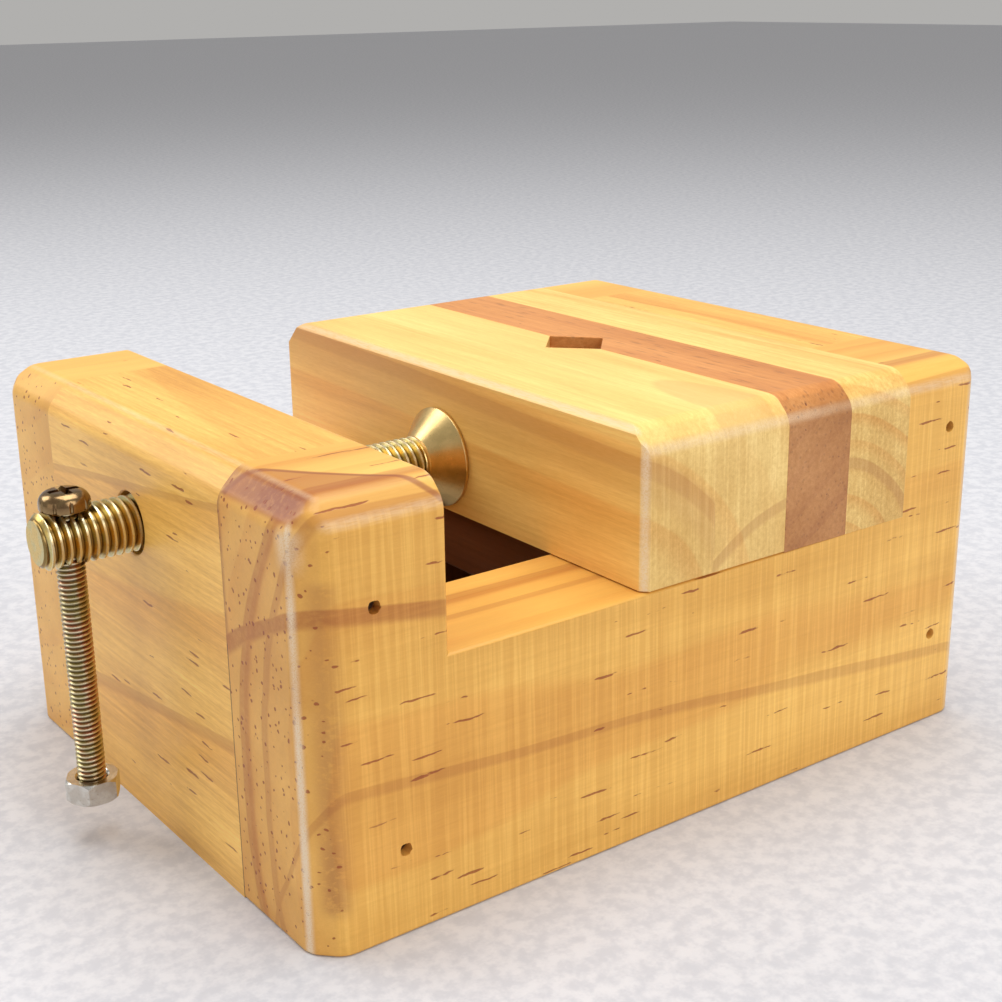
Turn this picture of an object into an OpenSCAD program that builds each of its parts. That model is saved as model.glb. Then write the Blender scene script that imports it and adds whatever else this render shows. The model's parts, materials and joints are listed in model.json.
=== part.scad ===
// Engraver's bench vise in pine: two notched rails, end blocks, a fixed jaw and a
// sliding jaw pushed by a hand screw with a tommy bar. Units are millimetres, +Z is up,
// +X runs from the screw end to the fixed jaw. The origin is the centre of the footprint.

/* [Wooden frame] */
// Length of the wooden frame along X
body_l = 122; // [118:1:140]
// Width of the frame and of the jaws along Y
body_w = 96; // [86:1:120]
// Height of the frame
body_h = 60; // [54:1:80]
// Thickness of each side rail
rail_t = 20.5; // [16:0.5:24]
// Thickness of the front block that the screw passes through
wall_t = 20; // [17:0.5:24]
// Thickness of the rear block and of the rails' rear ears
ear_t = 17; // [12:0.5:24]
// Depth of the notch in the rails that the jaws sit in
notch_h = 23; // [20:0.5:30]

/* [Jaws] */
// Thickness of the sliding jaw
jaw_t = 27; // [23:0.5:34]
// Thickness of the hardwood facing of the fixed jaw
facing_t = 13; // [9:0.5:18]
// Thickness of the backing strip of the fixed jaw
backing_t = 13; // [8:0.5:18]
// Width of the vee notches where the jaws meet
vee_w = 13; // [6:0.5:20]
// Depth of each vee notch
vee_d = 6; // [3:0.25:7.5]
// Gap between the sliding jaw and the rails
slide_gap = 0.2; // [0.1:0.05:0.4]
// Length of the guide block under the sliding jaw along X
tongue_l = 16; // [12:1:18]
// Height of the guide block
tongue_h = 12; // [8:1:18]

/* [Bevels] */
// Bevel of the long top edge on the right
bevel_right = 3; // [1:0.5:4]
// Bevel of the long top edge on the left
bevel_left = 5; // [1:0.5:6]
// Bevel of the front block's upper front edge
bevel_front = 3.5; // [1:0.5:4]
// Bevel of the rear edges
bevel_rear = 2.5; // [1:0.5:4]
// Small bevel of the inner edges and of the sliding jaw
bevel_small = 1; // [0.4:0.1:1.5]

/* [Clamp screw] */
// Outside diameter of the clamp screw
screw_d = 8; // [6:1:8]
// Overall length of the clamp screw, head included
screw_l = 65.5; // [62:0.5:70]
// Diameter of the countersunk head
head_d = 15.7; // [13:0.1:16]
// Height of the screw axis above the table
screw_z = 45.6; // [45.5:0.1:50]
// Distance from the screw's outer end to the tommy bar
cross_x = 4.6; // [4.2:0.1:8]

/* [Tommy bar] */
// Diameter of the tommy bar
bar_d = 4; // [3:0.5:4]
// Length of the tommy bar under its head
bar_l = 43; // [36:1:43]
// Diameter of the pan head
pan_d = 7; // [6.5:0.1:8]
// Height of the pan head
pan_h = 2.6; // [2:0.1:3]
// Width across flats of the hexagon nut
nut_af = 7; // [7:0.1:8]
// Height of the hexagon nut
nut_h = 3.2; // [2.4:0.1:4]

/* [Brads] */
// Depth of the brad heads below the surface
brad_set = 1.5; // [1:0.1:2.5]
// Length of a brad
brad_l = 32; // [26:1:34]

/* [Hidden] */
$fn = 64;
// Nothing in a cut is flush with what it cuts
eps = 1;
// Screw geometry
screw_r = screw_d / 2;
head_r = head_d / 2;
head_rim = 0.6;
head_gap = 0.1;
end_bevel = 0.8;
thread_gap = 0.05;
// Positions along X, measured from the frame's front face
backing_x = body_l - ear_t - backing_t;
joint_x = backing_x - facing_t;
jaw_x = joint_x - jaw_t;
screw_tip_x = jaw_x - head_gap - screw_l;
bar_x = screw_tip_x + cross_x;
// The footprint's centre, with the screw included
mid_x = (body_l + screw_tip_x) / 2;
notch_z = body_h - notch_h;
inner_y = body_w / 2 - rail_t;
// Clearance hole and tee nut
hole_r = screw_r + 0.5;
tee_barrel_r = screw_r + 1;
tee_barrel_l = 11;
tee_flange_r = 9;
tee_flange_t = 1.5;
// Guide block under the sliding jaw
tongue_gap = 0.4;
tongue_x = jaw_x + 4;
tongue_screw_x = tongue_x + tongue_l / 2;
tongue_screw_y = 15;
wood_screw_r = 1.9;
wood_screw_head_r = 3.7;
wood_screw_l = 25;
wood_gap = 0.05;
// Tommy bar
bar_r = bar_d / 2;
bar_hole_r = bar_r + 0.3;
pan_gap = 0.05;
pan_z = screw_z + screw_r + pan_gap;
recess_w = 0.9;
recess_l = 4;
recess_h = 1.2;
nut_chamfer = 0.45;
// Brads
brad_r = 0.6;
brad_head_r = 0.8;
brad_head_t = 0.8;
brad_pit_r = 0.9;
brad_gap = 0.05;
brad_front_upper = [9.5, 45.8];
brad_front_lower = [12.8, 12.2];
brad_rear_upper = [body_l - 7.2, 49.7];
brad_rear_lower = [body_l - 8.2, 15.3];
PINE = [0.87, 0.68, 0.37];
PALE_PINE = [0.93, 0.78, 0.48];
HARDWOOD = [0.66, 0.42, 0.26];
ZINC = [0.72, 0.62, 0.36];
SILVER = [0.74, 0.74, 0.72];

// Places what follows in the part's own frame
module placed() {
    translate([-mid_x, 0, 0])
    children();
}

// Extrudes an X-Z outline across the whole width
module across() {
    translate([0, body_w, 0])
    rotate([90, 0, 0])
    linear_extrude(2 * body_w)
    children();
}

// Extrudes a Y-Z outline along the whole length
module along() {
    rotate([90, 0, 90])
    linear_extrude(body_l)
    children();
}

// A cylinder along +Y from a point given as [x, z]
module bore_y(at, y, r, l) {
    translate([at[0], y, at[1]])
    rotate([-90, 0, 0])
    cylinder(r = r, h = l);
}

// A cylinder along +X on the screw's axis
module bore_x(x, r, l) {
    translate([x, 0, screw_z])
    rotate([0, 90, 0])
    cylinder(r = r, h = l);
}

// Y-Z outline of anything that spans the frame's width, bevelled along its top edges
module width_outline(z0) {
    polygon([[-body_w / 2, z0], [body_w / 2, z0],
             [body_w / 2, body_h - bevel_left],
             [body_w / 2 - bevel_left, body_h],
             [-body_w / 2 + bevel_right, body_h],
             [-body_w / 2, body_h - bevel_right]]);
}

// X-Z outline of a rail, notched from above
module rail_outline() {
    polygon([[0, 0], [body_l, 0],
             [body_l, body_h - bevel_rear], [body_l - bevel_rear, body_h],
             [body_l - ear_t, body_h], [body_l - ear_t, notch_z],
             [wall_t, notch_z], [wall_t, body_h - bevel_small],
             [wall_t - bevel_small, body_h],
             [bevel_front, body_h], [0, body_h - bevel_front]]);
}

// X-Y outline of a rail on the side given by s, bevelled at its outer corners
module rail_plan(s, bevel) {
    polygon([[0, s * inner_y], [body_l, s * inner_y],
             [body_l, s * (body_w / 2 - bevel_rear)],
             [body_l - bevel_rear, s * body_w / 2],
             [bevel, s * body_w / 2],
             [0, s * (body_w / 2 - bevel)]]);
}

// Pit and pilot hole of one brad on the side given by s
module brad_hole(at, s) {
    mirror([0, s > 0 ? 1 : 0, 0]) {
        bore_y(at, -body_w / 2 - eps, brad_pit_r, brad_set + brad_head_t + eps);
        bore_y(at, -body_w / 2, brad_r + brad_gap, brad_l + brad_set + eps);
    }
}

// All four brad holes on one side
module brad_holes(s) {
    brad_hole(brad_front_upper, s);
    brad_hole(brad_front_lower, s);
    brad_hole(brad_rear_upper, s);
    brad_hole(brad_rear_lower, s);
}

module rail(s, bevel) {
    difference() {
        intersection() {
            across() rail_outline();
            linear_extrude(body_h) rail_plan(s, bevel);
            along() width_outline(0);
        }
        brad_holes(s);
    }
}

module right_rail() {
    color(PINE)
    placed()
    rail(-1, bevel_front);
}

module left_rail() {
    color(PINE)
    placed()
    rail(1, bevel_left);
}

// The front block, bored for the screw and for the tee nut's barrel
module front_block() {
    color(PINE)
    placed()
    difference() {
        intersection() {
            across() rail_outline();
            translate([0, -inner_y, 0]) cube([wall_t, 2 * inner_y, body_h]);
        }
        bore_x(-eps, hole_r, wall_t + 2 * eps);
        bore_x(wall_t - tee_barrel_l - wood_gap, tee_barrel_r + wood_gap, tee_barrel_l + eps);
        brad_holes(-1);
        brad_holes(1);
    }
}

module rear_block() {
    color(PINE)
    placed()
    difference() {
        intersection() {
            across() rail_outline();
            translate([body_l - ear_t, -inner_y, 0]) cube([ear_t, 2 * inner_y, body_h]);
        }
        brad_holes(-1);
        brad_holes(1);
    }
}

// Vee notch prism at the joint between the jaws
module vee() {
    translate([joint_x, 0, 0])
    linear_extrude(body_h + eps)
    polygon([[-vee_d, 0], [0, -vee_w / 2], [vee_d, 0], [0, vee_w / 2]]);
}

module fixed_facing() {
    color(HARDWOOD)
    placed()
    difference() {
        intersection() {
            along() width_outline(notch_z);
            translate([joint_x, -body_w, 0]) cube([facing_t, 2 * body_w, body_h]);
        }
        vee();
    }
}

module fixed_backing() {
    color(PALE_PINE)
    placed()
    intersection() {
        along() width_outline(notch_z);
        translate([backing_x, -body_w, 0]) cube([backing_t, 2 * body_w, body_h]);
    }
}

// X-Z outline of the sliding jaw
module jaw_outline() {
    polygon([[jaw_x, notch_z + slide_gap], [joint_x, notch_z + slide_gap],
             [joint_x, body_h], [jaw_x + bevel_small, body_h],
             [jaw_x, body_h - bevel_small]]);
}

// X-Y outline of the sliding jaw
module jaw_plan() {
    polygon([[joint_x, -body_w / 2], [joint_x, body_w / 2],
             [jaw_x + bevel_small, body_w / 2], [jaw_x, body_w / 2 - bevel_small],
             [jaw_x, -body_w / 2 + bevel_small], [jaw_x + bevel_small, -body_w / 2]]);
}

module moving_jaw() {
    color(PALE_PINE)
    placed()
    difference() {
        intersection() {
            across() jaw_outline();
            linear_extrude(body_h) jaw_plan();
            along() width_outline(notch_z);
        }
        vee();
        wood_screw_hole(-tongue_screw_y);
        wood_screw_hole(tongue_screw_y);
    }
}

// Bottom of the guide block
tongue_z = notch_z + slide_gap - tongue_h;

// Profile of a countersunk wood screw, grown by g for its hole
module wood_screw_shape(g) {
    rotate_extrude()
    polygon([[0, 0], [wood_screw_head_r + g, 0],
             [wood_screw_r + g, wood_screw_head_r - wood_screw_r],
             [wood_screw_r + g, wood_screw_l - wood_screw_r + g],
             [0, wood_screw_l + g]]);
}

module wood_screw_hole(y) {
    translate([tongue_screw_x, y, tongue_z])
    wood_screw_shape(wood_gap);
}

module guide_tongue() {
    color(PINE)
    placed()
    difference() {
        translate([tongue_x, -inner_y + tongue_gap, tongue_z])
        cube([tongue_l, 2 * (inner_y - tongue_gap), tongue_h]);
        wood_screw_hole(-tongue_screw_y);
        wood_screw_hole(tongue_screw_y);
    }
}

module wood_screw(y) {
    color(SILVER)
    placed()
    translate([tongue_screw_x, y, tongue_z])
    wood_screw_shape(0);
}

module tongue_screw_right() {
    wood_screw(-tongue_screw_y);
}

module tongue_screw_left() {
    wood_screw(tongue_screw_y);
}

// Flanged tee nut pressed in from the inner face of the front block
module tee_nut() {
    color(SILVER)
    placed()
    difference() {
        union() {
            bore_x(wall_t, tee_flange_r, tee_flange_t);
            bore_x(wall_t - tee_barrel_l, tee_barrel_r, tee_barrel_l + tee_flange_t / 2);
        }
        bore_x(0, screw_r + thread_gap, wall_t + tee_flange_t + eps);
    }
}

// The clamp screw with its countersunk head, bored across for the tommy bar
module clamp_screw() {
    color(ZINC)
    placed()
    difference() {
        translate([screw_tip_x, 0, screw_z])
        rotate([0, 90, 0])
        rotate_extrude()
        polygon([[0, 0], [screw_r - end_bevel, 0], [screw_r, end_bevel],
                 [screw_r, screw_l - head_rim - (head_r - screw_r)],
                 [head_r, screw_l - head_rim], [head_r, screw_l], [0, screw_l]]);
        translate([bar_x, 0, screw_z - head_d])
        cylinder(r = bar_hole_r, h = 2 * head_d);
    }
}

// The tommy bar: a pan head screw with a cross recess
module tommy_bar() {
    color(ZINC)
    placed()
    translate([bar_x, 0, pan_z])
    difference() {
        union() {
            intersection() {
                cylinder(r = pan_d / 2, h = pan_h);
                translate([0, 0, pan_h - pan_d]) sphere(r = pan_d);
            }
            translate([0, 0, -bar_l]) cylinder(r1 = bar_r - bar_r / 8, r2 = bar_r, h = bar_r / 4);
            translate([0, 0, -bar_l + bar_r / 4]) cylinder(r = bar_r, h = bar_l);
        }
        translate([0, 0, pan_h]) cube([recess_l, recess_w, 2 * recess_h], center = true);
        translate([0, 0, pan_h]) cube([recess_w, recess_l, 2 * recess_h], center = true);
    }
}

// The hexagon nut that keeps the tommy bar in the screw
module tommy_nut() {
    color(SILVER)
    placed()
    translate([bar_x, 0, pan_z - bar_l])
    difference() {
        intersection() {
            cylinder(r = nut_af / 2 / cos(30), h = nut_h, $fn = 6);
            rotate_extrude()
            polygon([[0, 0], [nut_af / 2, 0], [nut_af / 2 + 2 * nut_chamfer, nut_chamfer],
                     [nut_af / 2 + 2 * nut_chamfer, nut_h - nut_chamfer],
                     [nut_af / 2, nut_h], [0, nut_h]]);
        }
        translate([0, 0, -eps]) cylinder(r = bar_r + wood_gap, h = nut_h + 2 * eps);
    }
}

// One brad, its head set below the surface
module brad(at, s) {
    color(SILVER)
    placed()
    mirror([0, s > 0 ? 1 : 0, 0]) {
        bore_y(at, -body_w / 2 + brad_set, brad_head_r, brad_head_t);
        bore_y(at, -body_w / 2 + brad_set + brad_head_t / 2, brad_r, brad_l - brad_head_t / 2);
    }
}

module brad_front_upper_right() {
    brad(brad_front_upper, -1);
}

module brad_front_lower_right() {
    brad(brad_front_lower, -1);
}

module brad_rear_upper_right() {
    brad(brad_rear_upper, -1);
}

module brad_rear_lower_right() {
    brad(brad_rear_lower, -1);
}

module brad_front_upper_left() {
    brad(brad_front_upper, 1);
}

module brad_front_lower_left() {
    brad(brad_front_lower, 1);
}

module brad_rear_upper_left() {
    brad(brad_rear_upper, 1);
}

module brad_rear_lower_left() {
    brad(brad_rear_lower, 1);
}

right_rail();
left_rail();
front_block();
rear_block();
fixed_facing();
fixed_backing();
moving_jaw();
guide_tongue();
tongue_screw_right();
tongue_screw_left();
tee_nut();
clamp_screw();
tommy_bar();
tommy_nut();
brad_front_upper_right();
brad_front_lower_right();
brad_rear_upper_right();
brad_rear_lower_right();
brad_front_upper_left();
brad_front_lower_left();
brad_rear_upper_left();
brad_rear_lower_left();
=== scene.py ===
"""Looks of a small pine bench vise for engravers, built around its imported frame."""

import functools
import json
import logging
import math
from contextlib import contextmanager
from dataclasses import dataclass, field
from enum import Enum
from typing import Callable, Iterator, Optional, Sequence

import bmesh
import bpy
from mathutils import Matrix, Vector

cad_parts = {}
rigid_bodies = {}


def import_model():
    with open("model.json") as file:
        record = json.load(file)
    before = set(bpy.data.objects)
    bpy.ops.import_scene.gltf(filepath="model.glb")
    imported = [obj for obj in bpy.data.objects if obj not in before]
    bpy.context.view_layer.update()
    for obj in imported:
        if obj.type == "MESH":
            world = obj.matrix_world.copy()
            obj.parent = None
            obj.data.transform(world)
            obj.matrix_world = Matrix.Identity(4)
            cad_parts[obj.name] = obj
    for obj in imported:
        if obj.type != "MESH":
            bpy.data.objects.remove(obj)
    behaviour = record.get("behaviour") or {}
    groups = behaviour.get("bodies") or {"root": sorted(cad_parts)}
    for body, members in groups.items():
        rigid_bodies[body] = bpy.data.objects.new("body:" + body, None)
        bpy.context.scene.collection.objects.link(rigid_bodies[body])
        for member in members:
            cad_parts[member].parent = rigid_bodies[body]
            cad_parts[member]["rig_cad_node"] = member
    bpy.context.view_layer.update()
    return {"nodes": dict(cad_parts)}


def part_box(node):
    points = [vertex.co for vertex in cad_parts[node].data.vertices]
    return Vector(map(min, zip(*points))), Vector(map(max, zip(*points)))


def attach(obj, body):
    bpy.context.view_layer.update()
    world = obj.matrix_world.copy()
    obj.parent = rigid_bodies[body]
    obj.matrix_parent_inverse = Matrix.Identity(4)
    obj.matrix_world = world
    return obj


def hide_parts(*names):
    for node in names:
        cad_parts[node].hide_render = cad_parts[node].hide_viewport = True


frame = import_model()

log = logging.getLogger("vise")

MM = 0.001
WHOLE = 1000.0

Color = tuple[float, float, float]
Socket = bpy.types.NodeSocket
Thing = bpy.types.Object


class Axis(Enum):
    """A main direction of the vise."""

    X = 0
    Y = 1
    Z = 2

    @property
    def others(self) -> tuple[int, int]:
        """The two directions across this one, in X, Y, Z order."""
        return tuple(i for i in range(3) if i != self.value)

    @property
    def vector(self) -> Vector:
        """Unit vector along this direction."""
        return Vector([1.0 if i == self.value else 0.0 for i in range(3)])


class Side(Enum):
    """The two long sides of the vise, seen from the screw's end."""

    RIGHT = -1
    LEFT = 1


class Body(Enum):
    """The bodies that move apart from each other."""

    FRAME = "frame"
    JAW = "jaw"
    SCREW = "screw"
    BAR = "bar"


class Slot(Enum):
    """Material slots of the record."""

    PINE = "pine"
    PALE_PINE = "pale_pine"
    HARDWOOD = "hardwood"
    YELLOW_ZINC = "zinc_yellow"
    CLEAR_ZINC = "zinc_silver"
    IRON = "iron"


def paint(red: int, green: int, blue: int) -> Color:
    """Turns a colour as seen on a screen into a shader's linear colour.

    Args:
        red: red from 0 to 255.
        green: green from 0 to 255.
        blue: blue from 0 to 255.

    Returns:
        The linear colour.
    """
    def channel(value: int) -> float:
        """Undoes the screen's curve for one channel."""
        part = value / 255.0
        return part / 12.92 if part <= 0.04045 else ((part + 0.055) / 1.055) ** 2.4

    return channel(red), channel(green), channel(blue)


# ---------------------------------------------------------------- modelling


class Bench:
    """The maker's moves on one mesh at a time."""

    @staticmethod
    def clear() -> None:
        """Leaves edit mode and lets go of everything."""
        if bpy.context.object is not None and bpy.context.object.mode != "OBJECT":
            bpy.ops.object.mode_set(mode="OBJECT")
        bpy.ops.object.select_all(action="DESELECT")

    @staticmethod
    def hold(piece: Thing) -> None:
        """Selects one piece and nothing else.

        Args:
            piece: the piece to work on.
        """
        Bench.clear()
        piece.select_set(True)
        bpy.context.view_layer.objects.active = piece

    @staticmethod
    @contextmanager
    def editing(piece: Thing, mode: str = "FACE", everything: bool = True) -> Iterator[bmesh.types.BMesh]:
        """Opens a piece in edit mode.

        Args:
            piece: the piece to open.
            mode: VERT, EDGE or FACE.
            everything: whether all of it starts out selected.

        Returns:
            The mesh being edited.
        """
        Bench.hold(piece)
        bpy.ops.object.mode_set(mode="EDIT")
        bpy.ops.mesh.select_mode(type=mode)
        bpy.ops.mesh.select_all(action="SELECT" if everything else "DESELECT")
        try:
            yield bmesh.from_edit_mesh(piece.data)
        finally:
            bpy.ops.object.mode_set(mode="OBJECT")

    @staticmethod
    def settle(name: str) -> Thing:
        """Names the primitive just added and puts its place into its mesh.

        Args:
            name: the piece's name.

        Returns:
            The piece.
        """
        piece = bpy.context.object
        piece.name = name
        piece.data.name = name
        bpy.ops.object.transform_apply(location=True, rotation=True, scale=True)
        return piece

    @staticmethod
    def block(name: str, low: Sequence[float], high: Sequence[float]) -> Thing:
        """Adds a squared block between two corners.

        Args:
            name: the piece's name.
            low: lowest corner in metres.
            high: highest corner in metres.

        Returns:
            The block.
        """
        Bench.clear()
        low, high = Vector(low), Vector(high)
        bpy.ops.mesh.primitive_cube_add(size=1.0, location=(low + high) / 2)
        bpy.context.object.scale = high - low
        return Bench.settle(name)

    @staticmethod
    def rod(name: str, start: Sequence[float], axis: Axis, radius: float, length: float,
            sides: int = 48, tip: Optional[float] = None) -> Thing:
        """Adds a turned rod or, with another radius at its tip, a turned cone.

        Args:
            name: the piece's name.
            start: centre of its first end in metres.
            axis: the direction it runs in.
            radius: radius at its start.
            length: its length; a negative length runs backwards.
            sides: number of flats round it.
            tip: radius at its far end.

        Returns:
            The rod.
        """
        Bench.clear()
        way = axis.vector * (1 if length > 0 else -1)
        turn = Vector((0, 0, 1)).rotation_difference(way).to_euler()
        bpy.ops.mesh.primitive_cone_add(
            vertices=sides, radius1=radius, radius2=radius if tip is None else tip, depth=abs(length),
            location=Vector(start) + axis.vector * length / 2, rotation=turn)
        return Bench.settle(name)

    @staticmethod
    def saw(piece: Thing, point: Sequence[float], normal: Sequence[float]) -> None:
        """Saws off what lies beyond a plane and closes the cut.

        Args:
            piece: the piece to saw.
            point: a point of the plane.
            normal: points to the side that falls off.
        """
        with Bench.editing(piece):
            bpy.ops.mesh.bisect(plane_co=point, plane_no=normal, use_fill=True, clear_outer=True)

    @staticmethod
    def cut(piece: Thing, tool: Thing, how: str = "DIFFERENCE") -> None:
        """Cuts a piece with another, or welds the two, and throws the tool away.

        Args:
            piece: the piece to cut.
            tool: the shape that cuts it.
            how: Blender's boolean operation.
        """
        for thing in (tool, piece):
            with Bench.editing(thing):
                bpy.ops.mesh.normals_make_consistent(inside=False)
        Bench.hold(piece)
        step = piece.modifiers.new("cut", "BOOLEAN")
        step.operation = how
        step.solver = "EXACT"
        step.object = tool
        bpy.ops.object.modifier_apply(modifier=step.name)
        bpy.data.objects.remove(tool)

    @staticmethod
    def ease(piece: Thing, width: float, rounds: int, pick: Callable[[Vector, Vector], bool],
             sharpness: float = 20.0) -> None:
        """Eases sharp edges with a small round, as sandpaper does.

        Args:
            piece: the piece to ease.
            width: how far the round reaches from the edge.
            rounds: faces across the round.
            pick: says from an edge's middle and direction whether it is eased.
            sharpness: edges flatter than this many degrees are left alone.
        """
        with Bench.editing(piece, "EDGE", everything=False) as mesh:
            bpy.ops.mesh.edges_select_sharp(sharpness=math.radians(sharpness))
            for edge in mesh.edges:
                first, last = (v.co.copy() for v in edge.verts)
                if edge.select and not pick((first + last) / 2, (last - first).normalized()):
                    edge.select = False
            bmesh.update_edit_mesh(piece.data)
            bpy.ops.mesh.bevel(offset=width, offset_type="OFFSET", segments=rounds, affect="EDGES",
                               clamp_overlap=True)

    @staticmethod
    def join(name: str, *pieces: Thing) -> Thing:
        """Makes one piece of several.

        Args:
            name: the joined piece's name.
            pieces: the pieces to join.

        Returns:
            The joined piece.
        """
        Bench.hold(pieces[0])
        for piece in pieces:
            piece.select_set(True)
        bpy.ops.object.join()
        pieces[0].name = name
        pieces[0].data.name = name
        return pieces[0]

    @staticmethod
    def polish(piece: Thing, weighted: bool = True, angle: float = 40.0) -> None:
        """Turns the faces outwards and smooths the shading of the small rounds.

        Args:
            piece: the piece to finish.
            weighted: lets the large flat faces keep their own shading.
            angle: edges sharper than this many degrees stay sharp.
        """
        with Bench.editing(piece):
            bpy.ops.mesh.remove_doubles(threshold=0.002 * MM)
            bpy.ops.mesh.normals_make_consistent(inside=False)
        Bench.hold(piece)
        bpy.ops.object.shade_smooth_by_angle(angle=math.radians(angle))
        if weighted:
            step = piece.modifiers.new("weighted", "WEIGHTED_NORMAL")
            step.keep_sharp = True
            bpy.ops.object.modifier_apply(modifier=step.name)

    @staticmethod
    def thread(name: str, start: Vector, axis: Axis, crest: float, root: float, pitch: float,
               length: float, sides: int) -> Thing:
        """Winds a right-hand thread as one closed rod.

        Args:
            name: the piece's name.
            start: centre of its first end in metres.
            axis: the direction it runs in.
            crest: outside radius.
            root: radius at the bottom of the groove.
            pitch: advance in one turn.
            length: length of the rod.
            sides: flats in one turn.

        Returns:
            The threaded rod.
        """
        Bench.clear()
        bpy.ops.mesh.primitive_circle_add(vertices=5, radius=crest)
        piece = Bench.settle(name)
        profile = ((root, 0.0), (root, 0.16), (crest, 0.46), (crest, 0.70), (root, 1.0))
        with Bench.editing(piece, "EDGE", everything=False) as mesh:
            mesh.verts.ensure_lookup_table()
            for vert, (radius, rise) in zip(mesh.verts, profile):
                vert.co = (radius, 0.0, rise * pitch)
            closing = [e for e in mesh.edges if e.calc_length() > 0.9 * pitch]
            for edge in closing:
                edge.select = True
            bmesh.update_edit_mesh(piece.data)
            bpy.ops.mesh.delete(type="EDGE")
        Bench.hold(piece)
        turns = math.ceil(length / pitch) + 3
        step = piece.modifiers.new("wind", "SCREW")
        step.angle = math.tau
        step.screw_offset = pitch
        step.iterations = turns
        step.steps = sides
        step.render_steps = sides
        step.use_merge_vertices = True
        step.merge_threshold = 0.001 * MM
        bpy.ops.object.modifier_apply(modifier=step.name)
        with Bench.editing(piece):
            bpy.ops.mesh.remove_doubles(threshold=0.002 * MM)
        base = 1.5 * pitch
        Bench.saw(piece, (0, 0, base), (0, 0, -1))
        Bench.saw(piece, (0, 0, base + length), (0, 0, 1))
        with Bench.editing(piece):
            bpy.ops.mesh.normals_make_consistent(inside=False)
        turn = Vector((0, 0, 1)).rotation_difference(axis.vector).to_matrix().to_4x4()
        piece.matrix_world = Matrix.Translation(start) @ turn @ Matrix.Translation((0, 0, -base))
        Bench.hold(piece)
        bpy.ops.object.transform_apply(location=True, rotation=True, scale=True)
        return piece


# ---------------------------------------------------------------- finishes


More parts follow.
